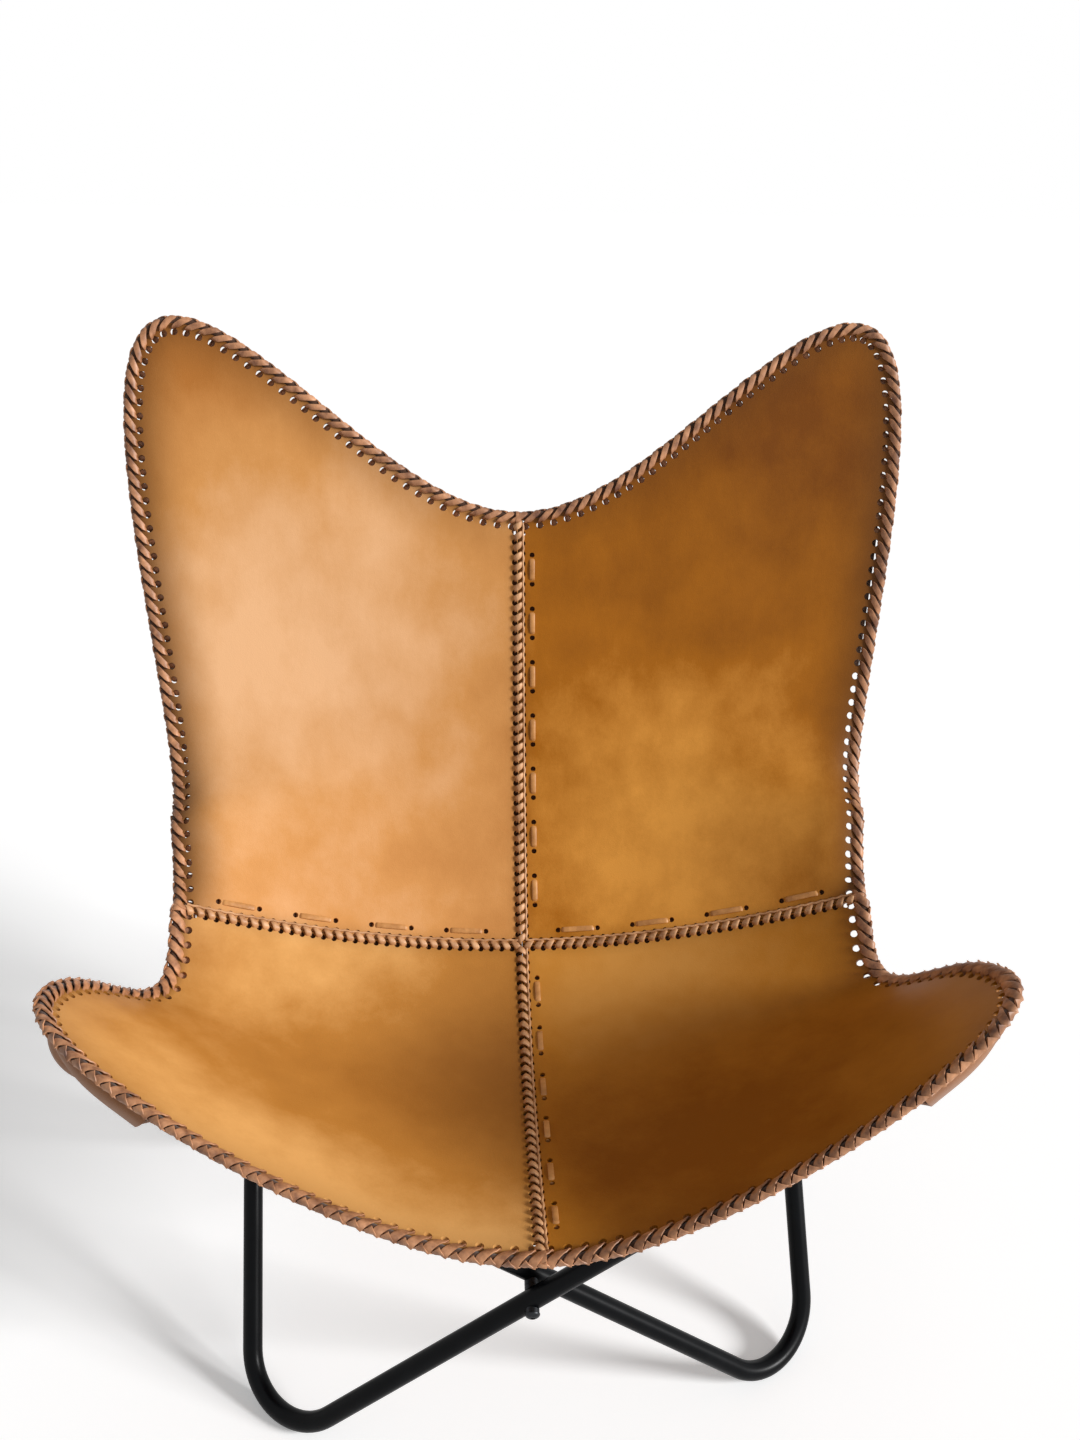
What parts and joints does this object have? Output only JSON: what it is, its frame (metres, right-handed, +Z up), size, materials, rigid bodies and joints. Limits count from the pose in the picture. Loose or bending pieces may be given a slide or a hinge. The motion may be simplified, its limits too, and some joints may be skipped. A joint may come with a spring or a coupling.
{
  "type": "butterfly sling chair",
  "caption": "Low lounge chair: a laced tan leather sling hung by corner pockets on crossed loops of black bent tube that scissor together to fold.",
  "frame": {"origin": "on the floor under the middle of the chair's box", "axes": "+Z up, the front of the seat faces -Y, +X to the right seen from the front"},
  "size_m": [0.7416, 0.6408, 0.906],
  "materials": {
    "black_tube": "satin black coat",
    "bare_steel": "plain drawn steel, hidden inside the tubes",
    "pivot_steel": "blackened steel",
    "tan_leather": "smooth full grain hide with a soft polish and a mottled patina",
    "flesh_side_leather": "napped flesh side of the hide",
    "lace_leather": "cut lacing, darker than the panels"
  },
  "bodies": {
    "pivots": {"front_pivot_bolt": "pivot_steel", "front_pivot_nut": "pivot_steel", "rear_pivot_bolt": "pivot_steel", "rear_pivot_nut": "pivot_steel", "back_seam_lace": "lace_leather", "seat_seam_lace": "lace_leather", "back_seam_backing": "flesh_side_leather", "seat_seam_backing": "flesh_side_leather"},
    "right_loop": {"right_loop_front_tube": "black_tube", "right_loop_rear_tube": "black_tube", "right_loop_arch_spigot": "bare_steel", "right_loop_saddle_spigot": "bare_steel", "front_right_outer_spacer": "pivot_steel", "front_right_inner_spacer": "pivot_steel", "rear_right_outer_spacer": "pivot_steel", "rear_right_inner_spacer": "pivot_steel", "back_right_panel": "tan_leather", "back_right_pocket": "flesh_side_leather", "back_right_edge_lace": "lace_leather", "seat_right_panel": "tan_leather", "seat_right_pocket": "flesh_side_leather", "seat_right_edge_lace": "lace_leather", "right_cross_seam_lace": "lace_leather", "right_cross_seam_backing": "flesh_side_leather"},
    "left_loop": {"left_loop_front_tube": "black_tube", "left_loop_rear_tube": "black_tube", "left_loop_arch_spigot": "bare_steel", "left_loop_saddle_spigot": "bare_steel", "front_left_outer_spacer": "pivot_steel", "front_left_inner_spacer": "pivot_steel", "rear_left_outer_spacer": "pivot_steel", "rear_left_inner_spacer": "pivot_steel", "back_left_panel": "tan_leather", "back_left_pocket": "flesh_side_leather", "back_left_edge_lace": "lace_leather", "seat_left_panel": "tan_leather", "seat_left_pocket": "flesh_side_leather", "seat_left_edge_lace": "lace_leather", "left_cross_seam_lace": "lace_leather", "left_cross_seam_backing": "flesh_side_leather"}
  },
  "joints": [
    {"name": "right_fold", "type": "hinge", "parent": "pivots", "child": "right_loop", "pos_m": [0, -0.20919, 0.1844], "axis": [0, -0.9276, -0.3735], "range_deg": [0, 26], "deforming": ["back_right_panel", "back_right_pocket", "back_right_edge_lace", "seat_right_panel", "seat_right_pocket", "seat_right_edge_lace", "right_cross_seam_lace", "right_cross_seam_backing", "back_seam_lace", "seat_seam_lace", "back_seam_backing", "seat_seam_backing"]},
    {"name": "left_fold", "type": "hinge", "parent": "pivots", "child": "left_loop", "pos_m": [0, -0.20919, 0.1844], "axis": [0, 0.9276, 0.3735], "range_deg": [0, 26], "deforming": ["back_left_panel", "back_left_pocket", "back_left_edge_lace", "seat_left_panel", "seat_left_pocket", "seat_left_edge_lace", "left_cross_seam_lace", "left_cross_seam_backing"]}
  ],
  "couplings": [
    {"joint": "left_fold", "follows": "right_fold", "ratio": 1}
  ]
}
